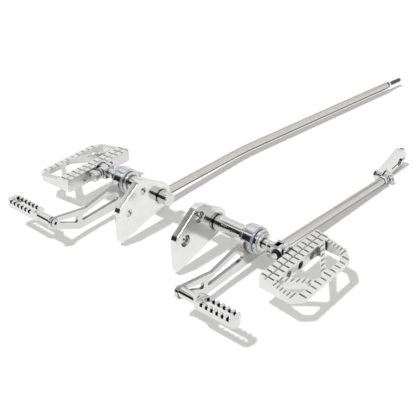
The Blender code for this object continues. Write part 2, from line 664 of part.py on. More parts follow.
def groove(start, end, wide, deep):
    """A V-shaped cutter between two points of the platform's top, (x, y) from its middle."""
    bm = bmesh.new()
    line = Vector((end[0] - start[0], end[1] - start[1])).normalized()
    across = Vector((-line.y, line.x)) * wide / 2 * (1 + CUT / deep)
    rings = []
    for x, y in (start, end):
        share = x / PEG_DEEP
        top = (PEG_HIGH + (PEG_RIM_HIGH - PEG_HIGH) * share) / 2
        centre = Vector((PEG_X + x, PIVOT_Y + y, PIVOT_Z - PEG_DROP + top))
        rings.append([bm.verts.new(centre + Vector((across.x * k, across.y * k, dz)))
                      for k, dz in ((0, -deep), (1, CUT), (-1, CUT))])
    a, b = rings
    for i in range(3):
        j = (i + 1) % 3
        bm.faces.new((a[i], a[j], b[j], b[i]))
    bm.faces.new(a[::-1])
    bm.faces.new(b)
    bmesh.ops.recalc_face_normals(bm, faces=bm.faces)
    return bm


def platform_grooves():
    """Cutters for the teeth: across the bar and the rim, and along the sides and struts."""
    lean = math.tan(PEG_SWEEP)
    across = []
    count = int((PEG_LONG - 2 * PEG_NOTCH_WIDE) / PEG_TOOTH_PITCH) + 1
    for i in range(count):
        y = (i - (count - 1) / 2) * PEG_TOOTH_PITCH
        across.append(groove((-CUT, y), (PEG_BAR - 1.5, y), PEG_NOTCH_WIDE, PEG_NOTCH_DEEP))
        if abs(y) < PEG_LONG / 2 - PEG_CHAMFER:
            shift = y - (PEG_DEEP - PEG_RIM / 2) * lean
            across.append(groove((PEG_DEEP - PEG_RIM - CUT, shift), (PEG_DEEP + CUT, shift),
                                 PEG_NOTCH_WIDE, PEG_NOTCH_DEEP))
    along = [groove((PEG_BAR / 2 - 0.8, -PEG_LONG), (PEG_BAR / 2 - 0.8, PEG_LONG),
                    PEG_CHANNEL_WIDE, PEG_CROSS_DEEP)]
    steps = int((PEG_DEEP - PEG_BAR - PEG_RIM) / PEG_CROSS_PITCH)
    for i in range(steps):
        x = PEG_BAR + 2.6 + i * PEG_CROSS_PITCH
        along.append(groove((x, -PEG_LONG), (x, PEG_LONG), PEG_NOTCH_WIDE, PEG_CROSS_DEEP))
    return merged(across), merged(along)


def aim(bm, start, target):
    """Turn a solid built along +Y so that it runs from start to target, its X kept across."""
    way = (Vector(target) - Vector(start)).normalized()
    across = (Vector((1, 0, 0)) - way * way.x).normalized()
    turn = Matrix((across, way, across.cross(way))).transposed().to_4x4()
    bmesh.ops.transform(bm, matrix=Matrix.Translation(start) @ turn, verts=bm.verts)
    return bm


def rod_end_body():
    """A ball-joint rod end at the origin: eye about X, shank along +Y."""
    half = EYE_BODY_WIDE / 2
    eye = rod_solid(-half, half, EYE_BODY_R, MEDIUM, chamfer=0.8)
    shank = rod_solid(EYE_BODY_R * 0.5, EYE_SHANK_LONG, EYE_SHANK_R, SMALL, along="Y")
    hollow = BALL_R + 2 * GAP
    seat = ball_solid(hollow, 2 * hollow * 0.98, 0)
    return cut(join(eye, shank), seat)


def ball_solid(radius, wide, bore):
    """A ball cut flat at both ends, with a bore along X."""
    reach = math.degrees(math.acos(wide / 2 / radius))
    profile = [(x, r) for x, r in arc((0, 0), radius, 180 - reach, reach, 5)]
    if bore:
        return turned([(-wide / 2, bore)] + profile + [(wide / 2, bore)], SMALL, closed=True)
    return turned([(-wide / 2, 0)] + profile + [(wide / 2, 0)], SMALL)


def rod_joint(side, body, rod_body, rod_x, target):
    """The joint at the lever's rear eye, with the bolt's head on the far side of the arm."""
    here = (rod_x, EYE_Y, EYE_Z)
    ball = ball_solid(BALL_R, BALL_WIDE, ROD_BOLT_R + GAP)
    bmesh.ops.translate(ball, verts=ball.verts, vec=here)
    place(side + "_rod_ball", ball, side, STEEL, carrier=body)
    outboard = rod_x > ARM_X
    face = ARM_X + ARM_THICK if outboard else ARM_X
    back = ARM_X if outboard else ARM_X + ARM_THICK
    way = 1 if outboard else -1
    ball_face = rod_x - way * BALL_WIDE / 2
    low, high = sorted((face + way * GAP, ball_face - way * GAP))
    place(side + "_rod_spacer", tube_solid(low, high, ROD_HEAD_R, ROD_BOLT_R + GAP, SMALL,
                                           (0, EYE_Y, EYE_Z)), side, POLISHED, carrier=body)
    head = back - way * GAP
    nut = rod_x + way * (BALL_WIDE / 2 + GAP)
    tail = nut + way * (ROD_NUT_LONG + 2.0)
    bolt = turned([(head - way * ROD_HEAD_LONG, 0), (head - way * ROD_HEAD_LONG,
                   ROD_HEAD_R - 0.6), (head - way * (ROD_HEAD_LONG - 0.6), ROD_HEAD_R),
                   (head, ROD_HEAD_R), (head, ROD_BOLT_R), (tail, ROD_BOLT_R), (tail, 0)],
                  SMALL, (0, EYE_Y, EYE_Z))
    place(side + "_rod_bolt", bolt, side, DARK, roughness=0.4, carrier=body)
    low, high = sorted((nut, nut + way * ROD_NUT_LONG))
    place(side + "_rod_lock_nut",
          hex_nut(low, high, ROD_NUT_R, ROD_BOLT_R + GAP, (EYE_Y, EYE_Z)), side, STEEL,
          carrier=body)
    place(side + "_rod_end", aim(rod_end_body(), here, target), side, STEEL, carrier=rod_body)
    start = EYE_SHANK_LONG * 0.55
    jam = hex_nut(start, start + JAM_NUT_LONG, JAM_NUT_R, EYE_SHANK_R + GAP, along="Y")
    place(side + "_rod_jam_nut", aim(jam, here, target), side, STEEL, carrier=rod_body)
    return EYE_SHANK_LONG * 0.55 + JAM_NUT_LONG + GAP


def shift_linkage(side, body):
    near = Vector((SHIFT_ROD_X, EYE_Y, EYE_Z))
    far = Vector(FAR_JOINT)
    rod_body = body_empty("shift_rod_axis", world_point(side, *near), body)
    start = rod_joint(side, body, rod_body, SHIFT_ROD_X, far)
    length = (far - near).length
    end = length - start
    deep = EYE_SHANK_LONG + GAP
    bore = EYE_SHANK_R + GAP
    bar = turned([(deep, 0), (deep, bore), (start, bore), (start, ROD_R - 0.5),
                  (start + ROD_CHAMFER, ROD_R), (end - ROD_CHAMFER, ROD_R), (end, ROD_R - 0.5),
                  (end, bore), (length - deep, bore), (length - deep, 0)], MEDIUM, along="Y")
    place("shift_rod", aim(bar, near, far), side, BRUSHED, roughness=0.35, carrier=rod_body)
    place("far_rod_end", aim(rod_end_body(), far, near), side, STEEL, carrier=rod_body)
    jam_at = EYE_SHANK_LONG * 0.55
    jam = hex_nut(jam_at, jam_at + JAM_NUT_LONG, JAM_NUT_R, EYE_SHANK_R + GAP, along="Y")
    place("far_jam_nut", aim(jam, far, near), side, STEEL, carrier=rod_body)
    splined_arm(side, rod_body)


def splined_arm(side, rod_body):
    """The clamp arm for the gearbox shaft, bolted to the inboard side of the far rod end."""
    x, y, z = FAR_JOINT
    arm_body = body_empty("splined_arm_axis", world_point(side, x, y, z), rod_body)
    high = x - BALL_WIDE / 2 - GAP
    low = high - ARM_WIDE
    out = Vector((math.cos(ARM_SLOPE), math.sin(ARM_SLOPE)))
    above = Vector((-out.y, out.x))
    hub = Vector((y, z)) + out * ARM_REACH
    clamp = hub + out * CLAMP_OFFSET[0] + above * CLAMP_OFFSET[1]
    outline = belt([((y, z), ARM_EYE_R), (tuple(clamp), CLAMP_R)], 12)
    teeth = []
    for i in range(SPLINE_TEETH * 2):
        radius = SPLINE_R + SPLINE_DEEP / 2 * (1 if i % 2 else -1)
        a = math.pi * i / SPLINE_TEETH
        teeth.append((hub.x + radius * math.cos(a), hub.y + radius * math.sin(a)))
    blank = prism([outline, teeth, circle((y, z), ROD_BOLT_R + GAP, SMALL)], low, high)
    flank = above * CLAMP_SLIT / 2
    ends = hub - out * CLAMP_SLIT_LONG, hub + out * CLAMP_R * 1.5
    slit = prism([[tuple(ends[0] - flank), tuple(ends[1] - flank), tuple(ends[1] + flank),
                   tuple(ends[0] + flank)]], low - CUT, high + CUT)
    at = hub + out * PINCH_OFFSET
    reach = math.sqrt(CLAMP_R ** 2 - (PINCH_OFFSET - CLAMP_OFFSET[0]) ** 2)
    top = reach + CLAMP_OFFSET[1]
    foot = CLAMP_OFFSET[1] - reach
    seat = top - PINCH_HEAD_LONG - 1.5
    spin = Matrix.Rotation(ARM_SLOPE + math.pi / 2, 4, "X")
    home = Matrix.Translation(((low + high) / 2, at.x, at.y)) @ spin
    drill = rod_solid(foot - 2 * CUT, seat + CUT, PINCH_R + GAP, SMALL, along="Y")
    recess = rod_solid(seat, top + 4 * CUT, PINCH_HEAD_R + GAP, SMALL, along="Y")
    for tool in (drill, recess):
        bmesh.ops.transform(tool, matrix=home, verts=tool.verts)
    place("splined_arm", cut(blank, slit, drill, recess), side, POLISHED, carrier=arm_body)
    head = seat + GAP
    screw = turned([(foot + 2.0, 0), (foot + 2.0, PINCH_R), (head, PINCH_R),
                    (head, PINCH_HEAD_R), (head + PINCH_HEAD_LONG, PINCH_HEAD_R),
                    (head + PINCH_HEAD_LONG, 0)], SMALL, along="Y")
    socket = rod_solid(head + 2.0, head + PINCH_HEAD_LONG + CUT, 2.2, 6, along="Y")
    screw = cut(screw, socket)
    bmesh.ops.transform(screw, matrix=home, verts=screw.verts)
    place("pinch_bolt", screw, side, DARK, roughness=0.4, carrier=arm_body)
    ball = ball_solid(BALL_R, BALL_WIDE, ROD_BOLT_R + GAP)
    bmesh.ops.translate(ball, verts=ball.verts, vec=FAR_JOINT)
    place("far_ball", ball, side, STEEL, carrier=arm_body)
    head = x + BALL_WIDE / 2 + GAP
    tail = low - GAP
    bolt = turned([(tail - ROD_NUT_LONG - 1.5, 0), (tail - ROD_NUT_LONG - 1.5, ROD_BOLT_R),
                   (head, ROD_BOLT_R), (head, FAR_HEAD_R), (head + FAR_HEAD_LONG - 0.6, FAR_HEAD_R),
                   (head + FAR_HEAD_LONG, FAR_HEAD_R - 0.6), (head + FAR_HEAD_LONG, 0)],
                  SMALL, (0, y, z))
    socket = rod_solid(head + 1.6, head + FAR_HEAD_LONG + CUT, 2.4, 6, (0, y, z))
    place("far_bolt", cut(bolt, socket), side, STEEL, carrier=arm_body)
    nut = hex_nut(tail - ROD_NUT_LONG, tail, ROD_NUT_R, ROD_BOLT_R + GAP, (y, z))
    place("far_nut", nut, side, STEEL, carrier=arm_body)


def brake_linkage(side, body):
    """The brake rod lies low, bends inboard and ends in a threaded stud."""
    near = Vector((BRAKE_ROD_X, EYE_Y, EYE_Z))
    bend, far = Vector(BRAKE_BEND), Vector(BRAKE_FAR)
    rod_body = body_empty("brake_rod_axis", world_point(side, *near), body)
    start = rod_joint(side, body, rod_body, BRAKE_ROD_X, bend)
    first, second = (bend - near).normalized(), (far - bend).normalized()
    reach = 30.0
    turn = first.angle(second)
    stations = [(near + first * start, ROD_R - 0.5), (near + first * (start + ROD_CHAMFER), ROD_R)]
    radius = reach / math.tan((math.pi - turn) / 2) if turn > 0.001 else 0
    for i in range(7):
        t = i / 6
        a = bend - first * reach
        b = bend + second * reach
        stations.append(((1 - t) ** 2 * a + 2 * t * (1 - t) * bend + t * t * b, ROD_R))
    stations += [(far - second * ROD_CHAMFER, ROD_R), (far, ROD_R - 0.5)]
    bar = swept_rod(stations, MEDIUM)
    hollow = rod_solid(start - CUT, EYE_SHANK_LONG + GAP, EYE_SHANK_R + GAP, SMALL, along="Y")
    tap = rod_solid(-CUT, 15.0, STUD_R + GAP, SMALL, along="Y")
    bar = cut(bar, aim(hollow, near, bend), aim(tap, far, bend))
    place("brake_rod", bar, side, BRUSHED, roughness=0.35, carrier=rod_body)
    nut = tube_solid(GAP, STUD_NUT_LONG, STUD_NUT_R, STUD_R + GAP, SMALL, along="Y", chamfer=0.8)
    place("stud_nut", aim(nut, far, far + second), side, STEEL, carrier=rod_body)
    stud = rod_solid(-15.0 + 2 * GAP, STUD_LONG, STUD_R, SMALL, along="Y", chamfer=0.8)
    place("rod_stud", aim(stud, far, far + second), side, DARK, roughness=0.4, carrier=rod_body)


def swept_rod(stations, steps):
    """A round bar through the stations (point, radius), with closed ends."""
    bm = bmesh.new()
    rings = []
    for i, (point, radius) in enumerate(stations):
        before = stations[max(i - 1, 0)][0]
        after = stations[min(i + 1, len(stations) - 1)][0]
        way = (after - before).normalized()
        flat = way.cross(Vector((0, 0, 1))).normalized()
        up = flat.cross(way).normalized()
        rings.append([bm.verts.new(point + radius * (flat * math.cos(a) + up * math.sin(a)))
                      for a in (2 * math.pi * k / steps for k in range(steps))])
    for a, b in zip(rings, rings[1:]):
        for k in range(steps):
            m = (k + 1) % steps
            bm.faces.new((a[k], a[m], b[m], b[k]))
    bm.faces.new(rings[0])
    bm.faces.new(rings[-1][::-1])
    bmesh.ops.recalc_face_normals(bm, faces=bm.faces)
    return bm


def build():
    for item in list(bpy.data.objects):
        bpy.data.objects.remove(item)
    for side, name in (("left", "_shift_lever"), ("right", "_brake_lever")):
        mounting_plate(side)
        pivot_stack(side)
        body = body_empty(side + "_lever_axis",
                          world_point(side, HUB_X + HUB_LONG / 2, PIVOT_Y, PIVOT_Z))
        lever(side, name, body)
        toe_peg(side, body)
        peg_mount(side)
        fold = body_empty(side + "_peg_axis", world_point(side, PIN_X, PIVOT_Y, PIVOT_Z))
        foot_peg(side, fold)
        if side == "left":
            shift_linkage(side, body)
        else:
            brake_linkage(side, body)


build()
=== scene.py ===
import math

import bmesh
import bpy
from mathutils import Matrix, Vector


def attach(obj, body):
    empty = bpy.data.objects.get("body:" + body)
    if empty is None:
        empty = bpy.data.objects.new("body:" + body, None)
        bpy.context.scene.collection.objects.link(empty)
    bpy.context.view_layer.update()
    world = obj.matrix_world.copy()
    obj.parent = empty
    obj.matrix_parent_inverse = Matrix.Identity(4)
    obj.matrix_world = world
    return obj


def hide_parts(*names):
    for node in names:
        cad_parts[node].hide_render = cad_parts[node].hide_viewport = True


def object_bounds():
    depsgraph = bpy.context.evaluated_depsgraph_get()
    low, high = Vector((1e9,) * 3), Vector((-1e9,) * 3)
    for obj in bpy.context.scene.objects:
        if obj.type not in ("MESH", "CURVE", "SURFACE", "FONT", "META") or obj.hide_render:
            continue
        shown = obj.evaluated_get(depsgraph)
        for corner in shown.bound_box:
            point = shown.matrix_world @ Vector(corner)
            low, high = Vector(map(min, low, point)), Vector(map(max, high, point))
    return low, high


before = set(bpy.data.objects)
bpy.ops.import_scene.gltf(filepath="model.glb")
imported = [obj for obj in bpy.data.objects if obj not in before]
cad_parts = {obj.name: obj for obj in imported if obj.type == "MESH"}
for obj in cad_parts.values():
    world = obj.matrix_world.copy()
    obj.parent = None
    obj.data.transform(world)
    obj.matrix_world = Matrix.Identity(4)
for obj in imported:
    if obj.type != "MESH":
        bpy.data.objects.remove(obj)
cad_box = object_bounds()
scene = bpy.context.scene


# Mount plates. Each side is carried by a 9.5 mm aluminium plate, milled from bar, which two bolts
# in counterbored holes hold to the motorcycle's frame. Its edges are rounded on a deburring
# wheel, more than those of any other piece.
SIDES = ("left", "right")
PLATE_EDGE = 0.0007


def linear_colour(code):
    """A linear colour from the sRGB hex code of what the eye sees."""
    values = [int(code[i:i + 2], 16) / 255 for i in (1, 3, 5)]
    linear = [v / 12.92 if v <= 0.04045 else ((v + 0.055) / 1.055) ** 2.4 for v in values]
    return (*linear, 1.0)


def add_node(tree, kind, inputs=None, **settings):
    """One node with its settings; an input is a value or another node's output socket."""
    item = tree.nodes.new(kind)
    for key, value in settings.items():
        setattr(item, key, value)
    for key, value in (inputs or {}).items():
        if isinstance(value, bpy.types.NodeSocket):
            tree.links.new(value, item.inputs[key])
        else:
            item.inputs[key].default_value = value
    return item


def in_marks(tree, size_mm):
    """Object coordinates counted in marks of a pattern, with their size along X, Y and Z in mm."""
    place = add_node(tree, "ShaderNodeTexCoord").outputs["Object"]
    in_a_metre = [float(f"{1000 / size:.2g}") for size in size_mm]      # to two figures
    return add_node(tree, "ShaderNodeMapping", {
        "Vector": place, "Scale": in_a_metre}).outputs["Vector"]


PATCH_MM, PATCH_TONE = 22.2, 0.94   # faint patches, as wiping and handling leave, and their tone
MARK_STRENGTH = 0.35


def metal(name, code, rough, spread, grain_mm, depth, metallic=1.0):
    """A bare metal with the marks of its finish and faint patches, in its gloss and its tone.

    Its roughness is rough, give or take spread. Grain_mm is the size of a mark along X, Y and Z,
    and depth how deep the marks go, in metres.
    """
    material = bpy.data.materials.new(name)
    material.use_nodes = True
    tree = material.node_tree
    shader = tree.nodes["Principled BSDF"]
    shader.inputs["Metallic"].default_value = metallic
    marks = add_node(tree, "ShaderNodeTexNoise", {
        "Vector": in_marks(tree, grain_mm), "Scale": 1.0, "Detail": 4.0,
        "Roughness": 0.6}).outputs["Fac"]
    patches = add_node(tree, "ShaderNodeTexNoise", {
        "Vector": in_marks(tree, (PATCH_MM, PATCH_MM, PATCH_MM)), "Scale": 1.0,
        "Detail": 3.0}).outputs["Fac"]
    both = add_node(tree, "ShaderNodeMath", {0: marks, 1: patches}, operation="ADD")
    gloss = add_node(tree, "ShaderNodeMapRange", {
        "Value": both.outputs[0], "From Min": 0.7, "From Max": 1.3,
        "To Min": rough - spread, "To Max": rough + spread})
    tone = add_node(tree, "ShaderNodeMapRange", {
        "Value": patches, "From Min": 0.3, "From Max": 0.7, "To Min": PATCH_TONE, "To Max": 1.0})
    colour = add_node(tree, "ShaderNodeVectorMath", {
        0: linear_colour(code)[:3], "Scale": tone.outputs[0]}, operation="SCALE")
    relief = add_node(tree, "ShaderNodeBump", {
        "Height": marks, "Strength": MARK_STRENGTH, "Distance": depth})
    for entry, node in (("Roughness", gloss), ("Base Color", colour), ("Normal", relief)):
        tree.links.new(node.outputs[0], shader.inputs[entry])
    return material


def darken(material, share):
    """Multiply a metal's colour by a share that varies over the piece, from 0 to 1."""
    tree = material.node_tree
    colour = tree.nodes["Principled BSDF"].inputs["Base Color"]
    darker = add_node(tree, "ShaderNodeVectorMath", {
        0: colour.links[0].from_socket, "Scale": share}, operation="SCALE")
    tree.links.new(darker.outputs[0], colour)


def paint_hollow_shade(material, dark, width, least=None):
    """Paint shade into a metal's colour in notches, bores and corners where it mirrors dark walls.

    Dark is how far, up to 1 for black, and width how wide they may be, in metres. The share of
    the colour that is left nowhere falls below least.
    """
    tree = material.node_tree
    walls = add_node(tree, "ShaderNodeAmbientOcclusion", {"Distance": width}, samples=8)
    share = add_node(tree, "ShaderNodeMapRange", {
        "Value": walls.outputs["AO"], "From Min": 0.45, "From Max": 0.85,
        "To Min": 1.0 - dark, "To Max": 1.0}, interpolation_type="SMOOTHSTEP")
    if least:
        share = add_node(tree, "ShaderNodeMath", {0: share.outputs[0], 1: least},
                         operation="MAXIMUM")
    darken(material, share.outputs[0])


FINE_EDGE = 0.00025                 # a broken edge, just wide enough to catch the light
SAME_PLACE = 0.000004               # points nearer than this are one
FLAT, SHARP, CREASE = (math.radians(angle) for angle in (0.8, 32, 40))


def show(name, body, finish, edge=FINE_EDGE):
    """Show a CAD piece, on its body, with its flat faces made whole and its sharp edges rounded.

    Edge is how wide the round is, in metres. The copy is shown in place of the CAD node.
    """
    bm = bmesh.new()
    bm.from_mesh(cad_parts[name].data)
    bmesh.ops.remove_doubles(bm, verts=bm.verts, dist=SAME_PLACE)
    bmesh.ops.dissolve_limit(bm, angle_limit=FLAT, verts=bm.verts, edges=bm.edges)
    sharp = [e for e in bm.edges if e.is_manifold and e.calc_face_angle(0) > SHARP]
    bmesh.ops.bevel(bm, geom=sharp, offset=edge, segments=2, profile=0.5, affect="EDGES",
                    clamp_overlap=True)
    mesh = bpy.data.meshes.new(name + "_finished")
    bm.to_mesh(mesh)
    bm.free()
    mesh.shade_smooth()
    mesh.set_sharp_from_angle(angle=CREASE)
    mesh.materials.append(finish)
    piece = bpy.data.objects.new(name + "_finished", mesh)
    scene.collection.objects.link(piece)
    piece.modifiers.new("even", "WEIGHTED_NORMAL").keep_sharp = True
    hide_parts(name)
    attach(piece, body)


# Aluminium, face-milled and lightly tumbled: bright, with soft reflections, and painted shade
# that darkens its bolt holes. The cutter's marks are 0.1 mm apart, too fine to show, and are
# drawn 0.9 mm apart.
plate_aluminium = metal("machined aluminium plate", "#E4E4E3", 0.13, 0.04, (0.91, 0.91, 0.91),
                        0.00005)
paint_hollow_shade(plate_aluminium, 1.0, 0.007)
for side in SIDES:
    show(side + "_mount_plate", "plates_and_pivots", plate_aluminium, edge=PLATE_EDGE)


# Pivots. A 12.7 mm bolt goes through each plate, and its round end stands out on the inboard
# side. It clamps a short spacer ring and a 22 mm sleeve, which reach out to the lever. All three
# are turned from aluminium bar and polished.

# Aluminium, turned and polished: near-mirror, with the room's dark band along each tube. The
# polishing marks are under 0.1 mm wide, too fine to show, and are drawn 1.4 mm wide and shallow.
polished_aluminium = metal("polished aluminium", "#DADADA", 0.08, 0.03, (1.43, 1.43, 1.43),
                           0.00002)
# Painted shade darkens its bores and inner corners.
paint_hollow_shade(polished_aluminium, 0.95, 0.0045)
for side in SIDES:
    for piece in ("pivot_bolt", "spacer_ring", "pivot_sleeve"):
        show(side + "_" + piece, "plates_and_pivots", polished_aluminium)


# Levers. Each is milled from one piece of aluminium: a hub that turns on the pivot bolt, an arm
# with two windows, an eye for the toe peg in front and one for the rod behind. The flanks and
# the hub are polished after milling.
LEVERS = {"left": "shift_lever", "right": "brake_lever"}
LEVER_EDGE = 0.0006
ARM_ROOT = (0.020, 0.026)           # the arm meets the hub between these places along Y
UPPER_EDGE_SHADE_SHARE = 0.55                    # how bright the arm's upper edge is beside its flanks


def facing(tree, axis):
    """How far a face looks along an axis of its piece, from -1 to 1."""
    normal = add_node(tree, "ShaderNodeTexCoord").outputs["Normal"]
    return add_node(tree, "ShaderNodeSeparateXYZ", {"Vector": normal}).outputs[axis]


# Aluminium, milled and polished: clear reflections on the flanks, and painted shade darkens the
# rims in the windows. Painted shade also greys the arm's narrow upper edge, by how far it faces
# up, ahead of the hub.
lever_aluminium = metal("polished aluminium lever", "#D6D6D6", 0.10, 0.04, (1.43, 1.43, 1.43),
                        0.00003)
paint_hollow_shade(lever_aluminium, 1.0, 0.011)
# Painted shade on the arm's upper edge: faces looking up are darkened ahead of the hub.
tree = lever_aluminium.node_tree
place = add_node(tree, "ShaderNodeTexCoord").outputs["Object"]
place = add_node(tree, "ShaderNodeSeparateXYZ", {"Vector": place})
arm_shade_share = add_node(tree, "ShaderNodeMapRange", {
    "Value": place.outputs["Y"], "From Min": ARM_ROOT[0], "From Max": ARM_ROOT[1],
    "To Min": UPPER_EDGE_SHADE_SHARE, "To Max": 1.0})
top = add_node(tree, "ShaderNodeMapRange", {
    "Value": facing(tree, "Z"), "From Min": 0.7, "From Max": 0.9,
    "To Min": 1.0, "To Max": arm_shade_share.outputs[0]})
darken(lever_aluminium, top.outputs[0])
for side, lever in LEVERS.items():
    show(side + "_" + lever, lever, lever_aluminium, edge=LEVER_EDGE)


# Lever bushings. A plain bearing bush is pressed into each hub and turns on the pivot bolt. It
# is hidden once the washers are on.

# Sintered bronze: brown and dull, from the oil in its pores.
bronze = metal("bronze", "#A98A58", 0.32, 0.08, (1.43, 1.43, 1.43), 0.00003)
for side, lever in LEVERS.items():
    show(side + "_lever_bushing", lever, bronze)


# Thrust washers. A thin washer, of slippery plastic bonded to steel, runs on both faces of each
# hub, so that the lever doesn't rub on the sleeve or the collar. The outer one's rim shows as a
# thin pale blue ring.
RING_BLUE = "#8DB6DA"


def cover(material, code, share):
    """Lay another colour over a metal by a share that varies over the piece, from 0 to 1."""
    tree = material.node_tree
    colour = tree.nodes["Principled BSDF"].inputs["Base Color"]
    mixed = add_node(tree, "ShaderNodeMixRGB", {
        "Fac": share, "Color1": colour.links[0].from_socket, "Color2": linear_colour(code)})
    tree.links.new(mixed.outputs[0], colour)


def sideways(tree):
    """How far a face looks inboard or outboard, from 0 to 1."""
    return add_node(tree, "ShaderNodeMath", {0: facing(tree, "X")},
                    operation="ABSOLUTE").outputs[0]


# Plastic-faced steel, stamped: a soft pale sheen, and pale blue round the outer one's rim. Its
# marks are drawn 2 mm wide, because real ones are too fine to show.
pale_washer = metal("pale washer", "#DCE0E4", 0.2, 0.06, (2.0, 2.0, 2.0), 0.00002, metallic=0.8)
blue_washer = metal("blue-edged washer", "#DFE3E8", 0.2, 0.06, (2.0, 2.0, 2.0), 0.00002,
                    metallic=0.6)
rim = add_node(blue_washer.node_tree, "ShaderNodeMapRange", {
    "Value": sideways(blue_washer.node_tree), "From Min": 0.2, "From Max": 0.6,
    "To Min": 1.0, "To Max": 0.0})
cover(blue_washer, RING_BLUE, rim.outputs[0])
for side in SIDES:
    show(side + "_inner_thrust_washer", "plates_and_pivots", pale_washer)
    show(side + "_outer_thrust_washer", "plates_and_pivots", blue_washer)


# Toe pegs. A round stem and a slotted grip with two rows of square notches are milled from one
# aluminium bar. A domed steel screw through the lever's tip holds the stem.
TOE_EDGE = 0.0004

# Aluminium, milled and polished. Painted shade makes its notches and bores look nearly black
# inside.
bored_aluminium = metal("bored aluminium", "#DEDEDE", 0.10, 0.03, (1.43, 1.43, 1.43), 0.00003)
paint_hollow_shade(bored_aluminium, 1.0, 0.007)

# Steel, turned and zinc plated: a shade darker than the aluminium, with sharp small highlights.
# The turning marks are 0.1 mm apart, too fine to show, and are drawn 1.1 mm apart.
bright_steel = metal("bright steel", "#D3D3D4", 0.12, 0.05, (1.11, 1.11, 1.11), 0.00003)
# Painted shade darkens its recesses.
paint_hollow_shade(bright_steel, 0.8, 0.0035)
for side, lever in LEVERS.items():
    show(side + "_toe_peg", lever, bored_aluminium, edge=TOE_EDGE)
    show(side + "_toe_peg_bolt", lever, bright_steel)


# Collars and peg mounts. A stepped collar closes the pivot outboard of the hub. The shaft beyond
# it is screwed on to the pivot bolt's thinner end, clamps the collar, and ends in the clevis
# that carries the folding peg. Both are turned and milled from aluminium and polished.
CLEVIS_EDGE = 0.0004
for side in SIDES:
    show(side + "_pivot_collar", "plates_and_pivots", polished_aluminium)
    show(side + "_peg_mount", "plates_and_pivots", polished_aluminium, edge=CLEVIS_EDGE)


# Folding joints. A polished aluminium knuckle turns in the clevis on a headed steel pin, which a
# black clip in a groove keeps in place. The peg folds up about it.
PEGS = {"left": "left_peg", "right": "right_peg"}

# Steel, blackened in an oxide bath: near black with a dull sheen.
dark_steel = metal("black oxide steel", "#232326", 0.30, 0.08, (1.11, 1.11, 1.11), 0.00004,
                   metallic=0.6)
for side, peg in PEGS.items():
    show(side + "_peg_knuckle", peg, polished_aluminium)
    show(side + "_peg_pin", peg, bright_steel)
    show(side + "_pin_clip", peg, dark_steel)


# Foot pegs. Each is an open platform milled from an aluminium block, with V struts and rows of
# notched teeth. A black socket-head bolt holds it to the knuckle, through the middle one of the
# three holes in its inner bar.
PEG_EDGE = 0.0003
CHANNEL_SHADE_LEAST = 0.55                # how bright the channel between the teeth stays


def channel_shade_least(material):
    """The least share of colour left by painted shade in the channel, whose walls look sideways.
    """
    return add_node(material.node_tree, "ShaderNodeMapRange", {
        "Value": sideways(material.node_tree), "From Min": 0.4, "From Max": 0.6,
        "To Max": CHANNEL_SHADE_LEAST}).outputs[0]


# Aluminium, milled and tumbled with ceramic stones: near white and satin. The stones' marks are
# 0.2 mm across, too fine to show, and are drawn 0.9 mm across. Painted shade makes the cuts
# across the teeth dark and the wider channel along them grey. The right peg's copy has lighter
# painted shade, and is a little rougher and less metallic.
tumbled_aluminium = metal("tumbled aluminium", "#E7E7E6", 0.17, 0.04, (0.91, 0.91, 0.91),
                          0.00005, metallic=0.75)
paint_hollow_shade(tumbled_aluminium, 1.0, 0.005, channel_shade_least(tumbled_aluminium))
lightly_shaded_aluminium = metal("tumbled aluminium, lightly shaded", "#E7E7E6", 0.2, 0.04, (0.91, 0.91, 0.91),
                       0.00005, metallic=0.7)
paint_hollow_shade(lightly_shaded_aluminium, 0.55, 0.004, channel_shade_least(lightly_shaded_aluminium))
show("left_foot_peg", "left_peg", tumbled_aluminium, edge=PEG_EDGE)
show("right_foot_peg", "right_peg", lightly_shaded_aluminium, edge=PEG_EDGE)
for side, peg in PEGS.items():
    show(side + "_peg_bolt", peg, dark_steel)


# Rod joints. At each lever's rear eye a black bolt holds the ball of a rod end, which an
# aluminium spacer keeps clear of the lever, with a lock nut behind it. The rod end swings on the
# ball, and a jam nut locks it on the rod. Ball, rod end and nuts are zinc-plated steel.
RODS = {"left": "shift_rod", "right": "brake_rod"}
for side, lever in LEVERS.items():
    show(side + "_rod_bolt", lever, dark_steel)
    show(side + "_rod_spacer", lever, polished_aluminium)
    show(side + "_rod_ball", lever, bright_steel)
    show(side + "_rod_lock_nut", lever, bright_steel)
for side, rod in RODS.items():
    show(side + "_rod_end", rod, bright_steel)
    show(side + "_rod_jam_nut", rod, bright_steel)


# Rods. Two 12.7 mm bars of stainless steel link the levers to what they work: the short one
# shifts, and the long one, with one bend, brakes. They are brushed along their length, and a
# tapped hole in each end takes a rod end or a stud.
ROD_PAINTED_BANDS = ((0.0, 0.55), (0.28, 0.244), (0.42, 0.28), (0.48, 0.55), (0.53, 0.694),
             (0.56, 0.955), (0.60, 0.955), (0.615, 0.595), (0.63, 0.91), (0.74, 0.955),
             (0.77, 0.955), (0.785, 0.64), (0.80, 0.928), (0.93, 0.865), (0.96, 0.955),
             (0.975, 0.64), (1.0, 0.748))   # from underneath, at 0, to on top, at 1


def greys(tree, source, steps):
    """A ramp of greys over a source from 0 to 1, with straight changes between its steps."""
    ramp = add_node(tree, "ShaderNodeValToRGB", {"Fac": source})
    stops = ramp.color_ramp.elements
    for stop, (at, grey) in zip(stops, (steps[0], steps[-1])):
        stop.position, stop.color = at, (grey, grey, grey, 1.0)
    for at, grey in steps[1:-1]:
        stops.new(at).color = (grey, grey, grey, 1.0)
    return ramp.outputs["Color"]


